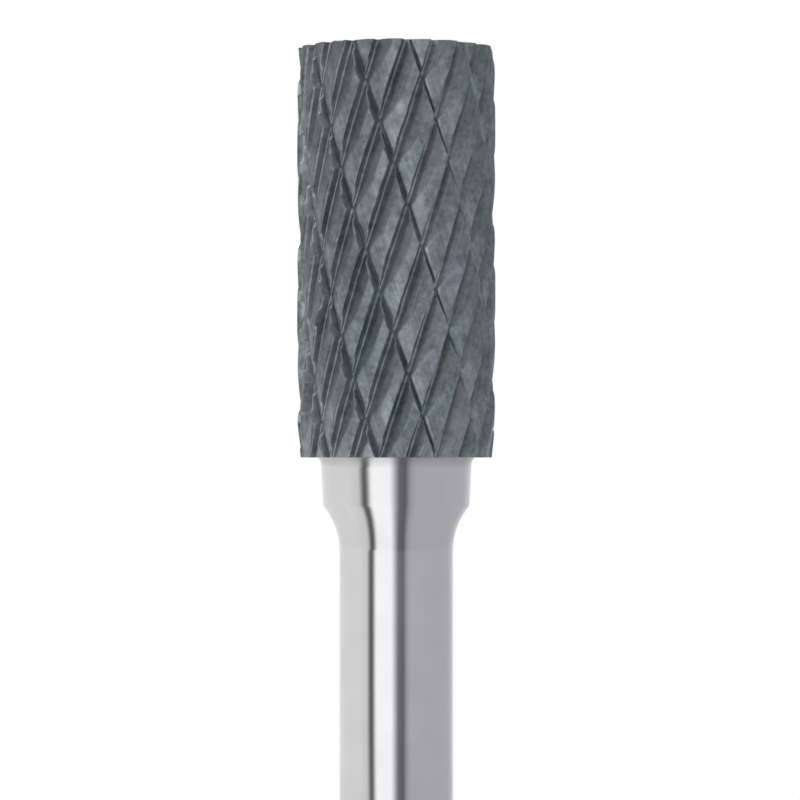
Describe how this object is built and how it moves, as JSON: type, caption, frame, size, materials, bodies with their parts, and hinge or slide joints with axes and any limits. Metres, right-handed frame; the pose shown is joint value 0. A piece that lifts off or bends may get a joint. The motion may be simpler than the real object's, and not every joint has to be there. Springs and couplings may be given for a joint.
{
  "type": "carbide burr",
  "caption": "Cylindrical double-cut carbide rotary burr with 21 right-hand flutes and 10 chip-breaker cuts, silver-brazed to a plain round 6.35 mm steel shank with a tapered collar.",
  "frame": {"origin": "centre of the flat end face of the shank, on the tool axis", "axes": "+Z along the tool axis from the shank's free end to the cutting head; +X and +Y are square to it"},
  "size_m": [0.011, 0.011, 0.068],
  "materials": {
    "carbide": "satin",
    "ground_steel": "gloss",
    "silver_solder": "satin"
  },
  "bodies": {
    "root": {"carbide_head": "carbide", "steel_shank": "ground_steel", "braze_joint": "silver_solder"}
  },
  "joints": []
}
